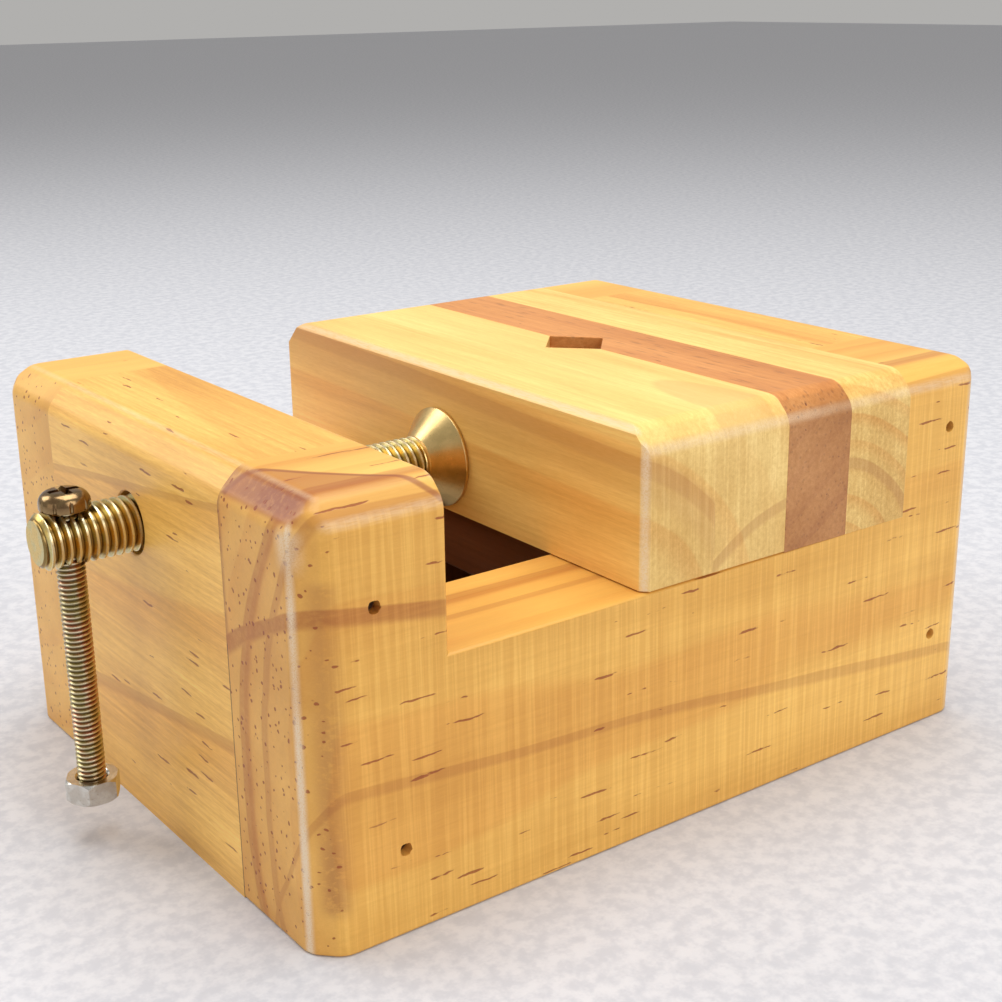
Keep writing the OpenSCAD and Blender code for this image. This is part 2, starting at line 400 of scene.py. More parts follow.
class Shader:
    """Lays out the nodes of one material."""

    def __init__(self, name: str) -> None:
        """Starts an empty material.

        Args:
            name: the material's name.
        """
        self.material = bpy.data.materials.new(name)
        self.material.use_nodes = True
        self.tree = self.material.node_tree
        self.tree.nodes.clear()
        self.skin = self.add("ShaderNodeBsdfPrincipled")
        output = self.add("ShaderNodeOutputMaterial")
        self.wire(self.skin.outputs[0], output.inputs["Surface"])

    def add(self, kind: str, **settings: object) -> bpy.types.Node:
        """Adds a node.

        Args:
            kind: Blender's name for the node.
            settings: properties to set on it.

        Returns:
            The node.
        """
        node = self.tree.nodes.new(kind)
        for key, value in settings.items():
            setattr(node, key, value)
        return node

    def wire(self, source: object, target: Socket) -> None:
        """Feeds a socket from another socket or a constant.

        Args:
            source: a socket, a number or a sequence of numbers.
            target: the socket to feed.
        """
        if isinstance(source, bpy.types.NodeSocket):
            self.tree.links.new(source, target)
        elif target.type == "RGBA" and len(source) == 3:
            target.default_value = (*source, 1.0)
        else:
            target.default_value = source

    def sum(self, operation: str, *values: object) -> Socket:
        """Does arithmetic on numbers.

        Args:
            operation: Blender's name for it.
            values: its inputs.

        Returns:
            The result.
        """
        node = self.add("ShaderNodeMath", operation=operation)
        for value, target in zip(values, node.inputs):
            self.wire(value, target)
        return node.outputs[0]

    def product(self, *values: object) -> Socket:
        """Multiplies numbers together."""
        return functools.reduce(lambda total, value: self.sum("MULTIPLY", total, value), values)

    def largest(self, values: Sequence[Socket]) -> Socket:
        """The largest of several numbers."""
        return functools.reduce(lambda total, value: self.sum("MAXIMUM", total, value), values)

    def radius(self, first: object, second: object, centre: Sequence[float]) -> Socket:
        """Reads how far a point lies from an axis.

        Args:
            first: first coordinate across the axis.
            second: second coordinate across the axis.
            centre: where the axis passes.

        Returns:
            The distance.
        """
        node = self.add("ShaderNodeVectorMath", operation="LENGTH")
        offsets = (self.sum("SUBTRACT", part, middle) for part, middle in zip((first, second), centre))
        self.wire(self.vector(*offsets, 0.0), node.inputs[0])
        return node.outputs["Value"]

    def vector(self, x: object, y: object, z: object) -> Socket:
        """Makes a vector of three numbers.

        Args:
            x: first number or socket.
            y: second number or socket.
            z: third number or socket.

        Returns:
            The vector.
        """
        node = self.add("ShaderNodeCombineXYZ")
        for value, target in zip((x, y, z), node.inputs):
            self.wire(value, target)
        return node.outputs[0]

    def split(self, vector: Socket) -> tuple[Socket, Socket, Socket]:
        """Splits a vector into its three numbers."""
        node = self.add("ShaderNodeSeparateXYZ")
        self.wire(vector, node.inputs[0])
        return tuple(node.outputs)

    def step(self, value: object, start: object, end: object, low: float = 0.0, high: float = 1.0) -> Socket:
        """Passes smoothly from one level to another.

        Args:
            value: what is read.
            start: where the passage starts; may be above its end.
            end: where it ends.
            low: level at the start.
            high: level at the end.

        Returns:
            The level.
        """
        node = self.add("ShaderNodeMapRange", interpolation_type="SMOOTHSTEP")
        for value_in, target in zip((value, start, end, low, high), node.inputs):
            self.wire(value_in, target)
        return node.outputs[0]

    def mix(self, factor: object, under: object, over: object, mode: str = "MIX") -> Socket:
        """Lays one colour over another.

        Args:
            factor: how much of the upper one shows.
            under: the lower colour.
            over: the upper colour.
            mode: Blender's blend type.

        Returns:
            The mixed colour.
        """
        node = self.add("ShaderNodeMix", data_type="RGBA", blend_type=mode, clamp_factor=True)
        inputs = [s for s in node.inputs if s.enabled]
        for value, target in zip((factor, under, over), inputs):
            self.wire(value, target)
        return next(s for s in node.outputs if s.enabled)

    def tint(self, color: object, by: object) -> Socket:
        """Multiplies one colour by another."""
        return self.mix(1.0, color, by, "MULTIPLY")

    def noise(self, vector: Socket, scale: float, detail: float = 2.0, rough: float = 0.5,
              color: bool = False) -> Socket:
        """Reads a cloud of noise.

        Args:
            vector: where it is read.
            scale: cells per unit.
            detail: octaves.
            rough: strength of the finer octaves.
            color: returns three numbers instead of one.

        Returns:
            The noise, about 0.5 on average.
        """
        node = self.add("ShaderNodeTexNoise")
        for key, value in (("Vector", vector), ("Scale", scale), ("Detail", detail), ("Roughness", rough)):
            self.wire(value, node.inputs[key])
        return node.outputs["Color" if color else "Fac"]

    def cells(self, vector: Socket) -> tuple[Socket, Socket]:
        """Reads scattered cells.

        Args:
            vector: where they are read, one cell per unit.

        Returns:
            The distance to the nearest centre and that cell's own colour.
        """
        node = self.add("ShaderNodeTexVoronoi")
        self.wire(vector, node.inputs["Vector"])
        node.inputs["Scale"].default_value = 1.0
        return node.outputs["Distance"], node.outputs["Color"]

    def place(self) -> Socket:
        """The point on the piece, in millimetres of the vise's own frame."""
        where = self.add("ShaderNodeTexCoord")
        mapping = self.add("ShaderNodeMapping")
        mapping.inputs["Scale"].default_value = (WHOLE, WHOLE, WHOLE)
        self.wire(where.outputs["Object"], mapping.inputs["Vector"])
        return mapping.outputs[0]

    def facing(self) -> Socket:
        """The way the surface faces, in the vise's own frame."""
        return self.add("ShaderNodeTexCoord").outputs["Normal"]

    def bump(self, height: Socket, strength: float, depth: float) -> None:
        """Raises and sinks the surface.

        Args:
            height: the relief.
            strength: how much of it shows.
            depth: height of one unit of relief in metres.
        """
        node = self.add("ShaderNodeBump")
        node.inputs["Strength"].default_value = strength
        node.inputs["Distance"].default_value = depth
        self.wire(height, node.inputs["Height"])
        self.wire(node.outputs[0], self.skin.inputs["Normal"])


@dataclass(frozen=True)
class Band:
    """A single dark growth ring, an arc round its own centre across the grain."""

    centre: tuple[float, float]
    radius: float
    width: float
    strength: float
    slope: float = 0.0
    after: float = -1000.0
    until: float = 1000.0
    fades: float = 1000.0


@dataclass(frozen=True)
class EdgeMark:
    """An edge along one axis whose colour changes: paler from wear of the varnish plus painted sheen, darker
    where the varnish has gone dark.
    """

    axis: Axis
    at: tuple[float, float]
    reach: float
    strength: float = 0.7
    below: float = 1000.0
    above: float = -1000.0
    squeeze: float = 1.0
    full: float = 0.1


@dataclass(frozen=True)
class Stain:
    """A reddish patch of heartwood beyond two planes."""

    normal: tuple[float, float, float]
    limit: float
    above: float
    right_of: float
    left_of: float
    strength: float


@dataclass
class Reading:
    """What a wood shader knows about a point; places are in millimetres."""

    xyz: Sequence[Socket]
    along: Socket
    moved: Socket
    across: Sequence[Socket]
    warped: Sequence[Socket]
    fibres: Socket
    hairs: Socket
    tone: Socket
    end: Socket


@dataclass(frozen=True)
class Finish:
    """A surface that can be given to a piece."""

    def make(self, name: str) -> bpy.types.Material:
        """Builds the material.

        Args:
            name: the material's name.

        Returns:
            The material.
        """
        shader = Shader(name)
        self.lay(shader)
        return shader.material

    def lay(self, s: Shader) -> None:
        """Lays out the nodes of the material."""
        raise NotImplementedError


@dataclass(frozen=True)
class WoodFinish(Finish):
    """Varnished wood with rings, resin canals, saw marks, edges pale from wear and painted sheen, and
    optional painted shade in the well.
    """

    early: Color
    late: Color
    dark: Color
    end: Color
    # Colour of the pale edge lines: varnish wear plus painted sheen.
    rubbed_and_sheen: Color = paint(240, 216, 184)
    heart: Color = paint(160, 78, 26)
    grain: Axis = Axis.X
    pith: tuple[float, float] = (0.0, -40.0)
    tilt: tuple[float, float] = (0.0, 0.0)
    spacing: float = 9.0
    ring: float = 0.5
    warp: float = 3.0
    mottle: float = 0.16
    fiber: float = 0.15
    canals: float = 0.5
    specks: float = 0.06
    canal_length: float = 20.0
    canal_width: float = 1.25
    pores: float = 0.0
    saw_marks: float = 0.06
    shift: float = 0.0
    bands: tuple[Band, ...] = ()
    worn_and_sheen: tuple[EdgeMark, ...] = ()
    darkened: tuple[EdgeMark, ...] = ()
    stains: tuple[Stain, ...] = ()
    # Half-width of the well whose inner faces get painted shade; 0 for none.
    painted_shade_well: float = 0.0
    seam: Optional[float] = None
    gloss: float = 0.34

    def lay(self, s: Shader) -> None:
        """Lays out varnish over the wood's colour and relief."""
        at = self.read(s)
        normal = s.split(s.facing())
        color, relief = self.flesh(s, at)
        if self.saw_marks:
            sides = s.step(s.sum("ABSOLUTE", normal[1]), 0.75, 0.95)
            marks = s.product(s.sum("SUBTRACT", self.saw_mask(s, at), 0.5), sides)
            color = self.shade(s, color, s.sum("ADD", marks, 0.5), self.saw_marks)
            relief = s.sum("ADD", relief, s.product(marks, 0.7))
        # Painted shade: the rails' inner faces inside the well, below the notch, are darkened to stand in for
        # the shadow under the jaw.
        if self.painted_shade_well:
            inner = s.step(s.sum("ABSOLUTE", at.xyz[1]), self.painted_shade_well + 0.35, self.painted_shade_well + 0.05)
            inner = s.product(inner, s.step(at.xyz[2], WELL_SHADE_TOP + 0.3, WELL_SHADE_TOP - 0.3))
            color = s.mix(inner, color, s.tint(color, WELL_SHADE_TINT))
        rough = s.sum("ADD", s.product(at.fibres, 0.16), self.gloss)
        # Pale edges: wear of the varnish, plus painted sheen where a rounded edge catches the light.
        if self.worn_and_sheen:
            rubbed_and_sheen = self.edge_mask(s, self.worn_and_sheen, at, at.tone, at.hairs)
            color = s.mix(rubbed_and_sheen, color, self.rubbed_and_sheen)
            rough = s.sum("ADD", rough, s.product(rubbed_and_sheen, 0.18))
        s.wire(color, s.skin.inputs["Base Color"])
        s.wire(rough, s.skin.inputs["Roughness"])
        for key, value in VARNISH.items():
            s.skin.inputs[key].default_value = value
        s.bump(relief, 0.55, 0.09 * MM)

    def read(self, s: Shader) -> Reading:
        """Reads the point, the grain's warp and the noises.

        Args:
            s: the shader being laid out.

        Returns:
            The readings.
        """
        xyz = s.split(s.place())
        along = xyz[self.grain.value]
        u, v = (xyz[i] for i in self.grain.others)
        moved = s.sum("ADD", along, self.shift)

        def stretched(amount: float) -> Socket:
            """The point with its grain drawn out."""
            return s.vector(s.product(moved, amount), u, v)

        sway = s.split(s.noise(stretched(0.22), 0.035, 2.0, color=True))
        warped = [
            s.sum("ADD", s.sum("SUBTRACT", axis, s.product(along, tilt)),
                  s.product(s.sum("SUBTRACT", part, 0.5), 2.0 * self.warp))
            for axis, tilt, part in zip((u, v), self.tilt, sway)]
        end = s.step(s.sum("ABSOLUTE", s.split(s.facing())[self.grain.value]), 0.55, 0.85)
        return Reading(
            xyz, along, moved, (u, v), warped, fibres=s.noise(stretched(0.03), 1.5, 4.0, 0.62),
            hairs=s.noise(stretched(0.09), 6.0, 2.0), tone=s.noise(stretched(0.15), 0.06, 3.0, 0.55), end=end)

    def flesh(self, s: Shader, at: Reading) -> tuple[Socket, Socket]:
        """The wood under its marks: rings, bands, patches, canals and pores.

        Args:
            s: the shader being laid out.
            at: the readings.

        Returns:
            Its colour and its relief.
        """
        color = s.mix(s.product(self.rings(s, at), self.ring), self.early, self.late)
        for noise, amount in ((at.tone, self.mottle), (at.fibres, self.fiber), (at.hairs, 0.5 * self.fiber)):
            color = self.shade(s, color, noise, amount)
        color = s.mix(s.product(at.end, 0.85), color, s.tint(color, self.end))
        if self.bands:
            color = s.mix(self.band_mask(s, at), color, self.heart)
        for stain in self.stains:
            color = self.stain(s, color, stain, at)
        if self.darkened:
            color = s.mix(self.edge_mask(s, self.darkened, at, at.fibres, at.tone), color, self.dark)
        if self.seam is not None:
            beyond = s.step(at.across[0], self.seam - 0.08, self.seam + 0.08)
            color = s.mix(beyond, color, s.tint(color, SEAM_TINT))
        canals = self.canal_mask(s, at)
        color = s.mix(s.product(canals, 0.80), color, s.tint(self.dark, CANAL_TINT))
        relief = s.sum("SUBTRACT", s.product(at.fibres, 0.55), s.product(canals, 0.8))
        if self.pores:
            pits = self.pore_mask(s, at)
            color = s.mix(s.product(pits, self.pores), color, s.tint(self.dark, PORE_TINT))
            relief = s.sum("SUBTRACT", relief, s.product(pits, 0.6))
        return color, relief

    def shade(self, s: Shader, color: Socket, noise: Socket, amount: float) -> Socket:
        """Lightens and darkens a colour with a noise.

        Args:
            s: the shader being laid out.
            color: the colour.
            noise: a noise about 0.5.
            amount: how far it goes either way.

        Returns:
            The shaded colour.
        """
        level = s.sum("ADD", s.product(s.sum("SUBTRACT", noise, 0.5), 4.0 * amount), 1.0)
        return s.tint(color, s.vector(level, s.sum("POWER", level, 1.5), s.sum("POWER", level, 2.4)))

    def rings(self, s: Shader, at: Reading) -> Socket:
        """Growth rings round the pith, each with its own strength.

        Args:
            s: the shader being laid out.
            at: the readings.

        Returns:
            Darkness of the late wood.
        """
        phase = s.sum("DIVIDE", s.radius(*at.warped, self.pith), self.spacing)
        within = s.sum("FRACT", phase)
        chance = s.add("ShaderNodeTexWhiteNoise", noise_dimensions="1D")
        s.wire(s.sum("FLOOR", phase), chance.inputs["W"])
        own = s.sum("ADD", s.product(chance.outputs["Value"], 0.8), 0.2)
        return s.product(s.step(within, 0.35, 0.90), s.step(within, 1.0, 0.93), own)

    def band_mask(self, s: Shader, at: Reading) -> Socket:
        """The single dark rings, broken up by the fibres.

        Args:
            s: the shader being laid out.
            at: the readings.

        Returns:
            Their darkness.
        """
        masks = []
        for band in self.bands:
            offset = s.sum("SUBTRACT", s.sum("SUBTRACT", s.radius(*at.warped, band.centre), band.radius),
                           s.product(at.along, band.slope))
            mask = s.product(s.step(offset, -band.width, -0.25 * band.width),
                             s.step(offset, band.width, 0.75 * band.width), band.strength)
            if band.after > -WHOLE:
                mask = s.product(mask, s.step(at.warped[0], band.after - 0.1, band.after + 0.1))
            if band.until < WHOLE:
                mask = s.product(mask, s.step(at.warped[0], band.until + 0.1, band.until - 0.1))
            if band.fades < WHOLE:
                mask = s.product(mask, s.step(at.along, band.fades + 4.0, band.fades - 8.0))
            masks.append(mask)
        return s.product(s.largest(masks), s.step(at.fibres, 0.15, 0.7, 0.55, 1.0))

    def stain(self, s: Shader, color: Socket, stain: Stain, at: Reading) -> Socket:
        """Lays one patch of heartwood and its dark border over the wood.

        Args:
            s: the shader being laid out.
            color: the wood's colour.
            stain: the patch.
            at: the readings.

        Returns:
            The colour with the patch on it.
        """
        _, y, z = at.xyz
        terms = [s.product(part, way) for part, way in zip(at.xyz, stain.normal)]
        reach = s.sum("ADD", s.sum("ADD", terms[0], terms[1]), terms[2])
        reach = s.sum("ADD", reach, s.product(s.sum("SUBTRACT", at.tone, 0.5), 6.0))
        aside = s.step(y, stain.right_of, stain.right_of - 0.2)
        patch = s.product(
            s.step(reach, stain.limit, stain.limit - 0.8), s.step(z, stain.above - 0.5, stain.above + 0.3),
            aside, s.step(at.tone, 0.3, 0.6, 0.75, 1.0),
            s.step(y, stain.left_of - 1.2, stain.left_of + 0.6, 0.35, 1.0), stain.strength)
        off = s.sum("ABSOLUTE", s.sum("SUBTRACT", reach, stain.limit - 0.6))
        border = s.product(s.step(off, 0.9, 0.3), s.step(z, stain.above - 0.2, stain.above + 0.2), aside, 0.7)
        return s.mix(border, s.mix(patch, color, self.heart), self.dark)

    def canal_mask(self, s: Shader, at: Reading) -> Socket:
        """Resin canals: short dark dashes along the grain, specks on the end grain.

        Args:
            s: the shader being laid out.
            at: the readings.

        Returns:
            Their darkness.
        """
        u, v = at.across
        ragged = s.split(s.noise(s.vector(s.product(at.moved, 0.45), u, v), 0.9, 2.0, color=True))
        shift_u, shift_v, shift_along = (s.sum("SUBTRACT", part, 0.5) for part in ragged)
        near, own = s.cells(s.vector(*(
            s.sum("ADD", s.sum("DIVIDE", part, size), s.product(shift, amount))
            for part, size, shift, amount in (
                (at.moved, self.canal_length, shift_along, 0.3), (u, self.canal_width, shift_u, 0.55),
                (v, self.canal_width, shift_v, 0.55)))))
        chance, size, _ = s.split(own)
        wanted = s.sum("ADD", s.product(s.sum("SUBTRACT", at.tone, 0.5), 2.2), self.canals)
        wanted = s.sum("ADD", wanted, s.product(at.end, self.specks))
        lives = s.step(s.sum("SUBTRACT", wanted, chance), 0.0, 0.05)
        reach = s.sum("ADD", s.product(size, 0.12), s.sum("ADD", 0.09, s.product(at.end, 0.06)))
        return s.product(s.step(near, reach, s.product(reach, 0.70)), lives)

    def pore_mask(self, s: Shader, at: Reading) -> Socket:
        """Fine dense pores of a hardwood.

        Args:
            s: the shader being laid out.
            at: the readings.

        Returns:
            Their darkness.
        """
        near, own = s.cells(s.vector(*(s.sum("DIVIDE", part, size) for part, size in zip(
            (at.moved, *at.across), PORE_SIZE))))
        return s.product(s.step(near, 0.42, 0.12), s.step(s.split(own)[0], 0.35, 0.6))

    def saw_mask(self, s: Shader, at: Reading) -> Socket:
        """Faint upright marks that the saw left on the long sides.

        Args:
            s: the shader being laid out.
            at: the readings.

        Returns:
            Their lightness, about 0.5.
        """
        x, _, z = at.xyz
        lean = s.vector(s.sum("ADD", x, s.product(z, 0.012)), s.product(z, 0.02), 0.0)
        lines = s.step(s.noise(lean, 1.3, 2.0, 0.7), 0.42, 0.66)
        return s.sum("ADD", s.product(s.noise(lean, 0.35, 2.0, 0.6), 0.6), s.product(lines, 0.4))

    def edge_mask(self, s: Shader, edges: Sequence[EdgeMark], at: Reading, broad: Socket,
                 fine: Socket) -> Socket:
        """Where edges have changed colour.

        Args:
            s: the shader being laid out.
            edges: the edges.
            at: the readings.
            broad: a noise that breaks them up.
            fine: a noise that frays their borders.

        Returns:
            How far they have changed.
        """
        masks = []
        for edge in edges:
            i, j = edge.axis.others
            along = at.xyz[edge.axis.value]
            first = s.product(at.xyz[i], edge.squeeze)
            far = s.radius(first, at.xyz[j], (edge.at[0] * edge.squeeze, edge.at[1]))
            mask = s.product(s.step(far, edge.reach, edge.full * edge.reach), edge.strength)
            if edge.below < WHOLE:
                mask = s.product(mask, s.step(along, edge.below + 1.0, edge.below - 1.0))
            if edge.above > -WHOLE:
                mask = s.product(mask, s.step(along, edge.above - 1.5, edge.above + 1.5))
            masks.append(mask)
        return s.product(
            s.largest(masks), s.step(broad, 0.3, 0.55, 0.55, 1.0), s.step(fine, 0.3, 0.6, 0.5, 1.0))


@dataclass(frozen=True)
class PlatedFinish(Finish):
    """Plated steel, paler on its crests from wear and painted highlight, darker in its grooves."""

    base: Color
    tint: Color
    worn_and_sheen: Color
    dark_tone: Color
    rough: float = 0.3
    texture: float = 0.6
    axis: Axis = Axis.X
    centre: tuple[float, float] = (0.0, 0.0)
    crest: float = 0.0
    root: float = 0.0

    def lay(self, s: Shader) -> None:
        """Lays out a clouded metal and, on a thread, its crests and grooves."""
        point = s.place()
        cloud = s.noise(point, 0.35, 3.0, 0.6)
        speckle = s.noise(point, 3.5, 3.0, 0.6)
        color = s.mix(s.step(cloud, 0.4, 0.62), self.base, self.tint)
        color = s.mix(s.step(speckle, 0.55, 0.8, 0.0, 0.5), color, self.dark_tone)
        if self.crest:
            radius = s.radius(*(s.split(point)[i] for i in self.axis.others), self.centre)
            span = self.crest - self.root
            end = s.sum("ABSOLUTE", s.split(s.facing())[self.axis.value])
            # Grooves drawn darker, towards the dark tone; end faces are left out.
            low = s.product(s.step(radius, self.root + 0.45 * span, self.root + 0.02 * span),
                            s.step(end, 0.98, 0.90))
            # Crests drawn paler: wear of the plating plus painted highlight.
            top = s.step(radius, self.crest - 0.30 * span, self.crest - 0.02 * span)
            color = s.mix(s.product(low, 0.75), color, self.dark_tone)
            color = s.mix(s.product(top, s.step(cloud, 0.3, 0.6, 0.45, 0.9)), color, self.worn_and_sheen)
        s.wire(color, s.skin.inputs["Base Color"])
        rough = s.sum("ADD", s.product(s.sum("SUBTRACT", speckle, 0.5), 0.35 * self.texture), self.rough)
        s.wire(rough, s.skin.inputs["Roughness"])
        s.skin.inputs["Metallic"].default_value = 1.0
        s.bump(s.sum("ADD", speckle, s.product(cloud, 0.5)), 0.25 * self.texture, 0.03 * MM)


@dataclass(frozen=True)
class IronFinish(Finish):
    """Dark rusty iron of the brads."""

    base: Color = paint(70, 52, 42)
    rust: Color = paint(112, 66, 38)

    def lay(self, s: Shader) -> None:
        """Lays out rust in clouds."""
        cloud = s.noise(s.place(), 1.6, 4.0, 0.6)
        s.wire(s.mix(s.step(cloud, 0.4, 0.65), self.base, self.rust), s.skin.inputs["Base Color"])
        s.wire(s.step(cloud, 0.3, 0.7, 0.45, 0.8), s.skin.inputs["Roughness"])
        s.skin.inputs["Metallic"].default_value = 0.6
        s.bump(cloud, 0.4, 0.05 * MM)


@dataclass(frozen=True)
class FloorFinish(Finish):
    """A plain pale table."""

    base: Color = paint(214, 214, 218)
    fleck: Color = paint(198, 199, 205)

    def lay(self, s: Shader) -> None:
        """Lays out faint clouds."""
        cloud = s.noise(s.place(), 0.35, 3.0, 0.65)
        s.wire(s.mix(s.step(cloud, 0.35, 0.65), self.base, self.fleck), s.skin.inputs["Base Color"])
        s.skin.inputs["Roughness"].default_value = 0.9


SEAM_TINT: Color = (1.03, 1.05, 1.10)
CANAL_TINT: Color = (0.95, 0.58, 0.30)
PORE_TINT: Color = (0.55, 0.5, 0.5)
PORE_SIZE = (5.0, 0.75, 0.75)
# Tint and top height of the painted shade inside the well.
WELL_SHADE_TINT: Color = (0.21, 0.15, 0.12)
WELL_SHADE_TOP = 36.8
VARNISH = {"Coat Weight": 0.14, "Coat Roughness": 0.28, "Specular IOR Level": 0.36}


def wood(early: Color, late: Color, dark: Color, end: Color) -> dict[str, Color]:
    """Names the four colours of a wood."""
    return dict(early=early, late=late, dark=dark, end=end)


def metal(base: Color, tint: Color, worn_and_sheen: Color, dark_tone: Color) -> dict[str, Color]:
    """Names the four colours of a plated metal."""
    return dict(base=base, tint=tint, worn_and_sheen=worn_and_sheen, dark_tone=dark_tone)


PINE = wood(paint(238, 182, 88), paint(218, 138, 50), paint(150, 82, 42), (0.93, 0.90, 0.98))
PALE = wood(paint(246, 200, 112), paint(232, 158, 66), paint(172, 112, 64), (0.86, 0.90, 1.04))
BROWN = wood(paint(216, 144, 76), paint(188, 114, 58), paint(112, 62, 42), (0.68, 0.74, 0.92))
# Dark wood for the guide block: painted shade standing in for the shadow under the jaw.
PAINTED_SHADE_WOOD = wood(paint(110, 64, 36), paint(92, 50, 28), paint(66, 36, 22), (0.84, 0.80, 0.84))
TEE_PLATE = metal(paint(196, 196, 190), paint(168, 170, 168), paint(222, 222, 218), paint(96, 90, 82))
SCREW_PLATE = metal(paint(196, 196, 190), paint(170, 172, 170), paint(224, 224, 220), paint(90, 86, 80))
NUT_PLATE = metal(paint(214, 211, 204), paint(194, 188, 178), paint(230, 228, 224), paint(128, 114, 98))
GOLD_THREAD = metal(paint(216, 184, 104), paint(198, 186, 130), paint(228, 218, 180), paint(112, 78, 32))
GOLD_HEAD = metal(paint(228, 196, 132), paint(214, 184, 122), paint(236, 216, 160), paint(186, 156, 104))
OLIVE_THREAD = metal(paint(178, 164, 116), paint(196, 146, 118), paint(216, 206, 174), paint(88, 72, 46))
BRONZE_HEAD = metal(paint(150, 124, 86), paint(132, 104, 72), paint(236, 224, 186), paint(78, 60, 40))


# ---------------------------------------------------------------- sub-assemblies


def dress(piece: Thing, finish: Finish) -> None:
    """Gives a piece its material.

    Args:
        piece: the piece, a new one or a CAD node.
        finish: its finish.
    """
    piece.data.materials.clear()
    piece.data.materials.append(finish.make(f"{piece.name}.finish"))


def install(piece: Thing, body: Body, *nodes: str) -> None:
    """Lets a piece ride on its body in place of CAD nodes.

    Args:
        piece: the new piece.
        body: the body it moves with.
        nodes: the CAD nodes it stands for.
    """
    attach(piece, body.value)
    if nodes:
        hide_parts(*nodes)
    log.info("%s rides on %s, %d faces", piece.name, body.value, len(piece.data.polygons))


@dataclass
class Layout:
    """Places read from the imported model, in metres."""

    low: Vector = field(default_factory=lambda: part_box("right_rail")[0])
    high: Vector = field(default_factory=lambda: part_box("left_rail")[1])
    wall: float = field(default_factory=lambda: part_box("front_block")[1].x)
    ear: float = field(default_factory=lambda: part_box("rear_block")[0].x)
    notch: float = field(default_factory=lambda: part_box("fixed_facing")[0].z)
    inner: float = field(default_factory=lambda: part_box("front_block")[1].y)
    joint: float = field(default_factory=lambda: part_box("fixed_facing")[0].x)
    right_bevel: float = 3.0 * MM
    left_bevel: float = 5.0 * MM
    front_bevel: float = 3.5 * MM
    rear_bevel: float = 2.5 * MM
    small_bevel: float = 1.0 * MM
    vee_width: float = 13.0 * MM
    vee_depth: float = 6.0 * MM

    def side_bevel(self, side: Side) -> float:
        """Bevel of the long top edge on one side."""
        return self.right_bevel if side is Side.RIGHT else self.left_bevel

    def corner_bevel(self, side: Side) -> float:
        """Bevel of the upright front edge on one side."""
        return self.front_bevel if side is Side.RIGHT else self.left_bevel

    def saw_side_tops(self, piece: Thing) -> None:
        """Bevels both long top edges of a piece that spans the frame.

        Args:
            piece: the piece to saw.
        """
        for side in Side:
            edge = self.low.y if side is Side.RIGHT else self.high.y
            Bench.saw(piece, (0, edge, self.high.z - self.side_bevel(side)), (0, side.value, 1))

    def vee_tool(self) -> Thing:
        """The square prism that cuts both vee notches."""
        tool = Bench.rod("vee_tool", (self.joint, 0, self.notch - 2 * MM), Axis.Z, 1.0,
                         self.high.z - self.notch + 4 * MM, sides=4)
        with Bench.editing(tool):
            bpy.ops.transform.resize(value=(self.vee_depth, self.vee_width / 2, 1.0),
                                     center_override=(self.joint, 0, 0))
        reach = max(abs(v.co.y) for v in tool.data.vertices)
        if reach < 0.99 * self.vee_width / 2:
            with Bench.editing(tool):
                bpy.ops.transform.rotate(value=math.radians(45), orient_axis="Z",
                                         center_override=(self.joint, 0, 0))
        return tool


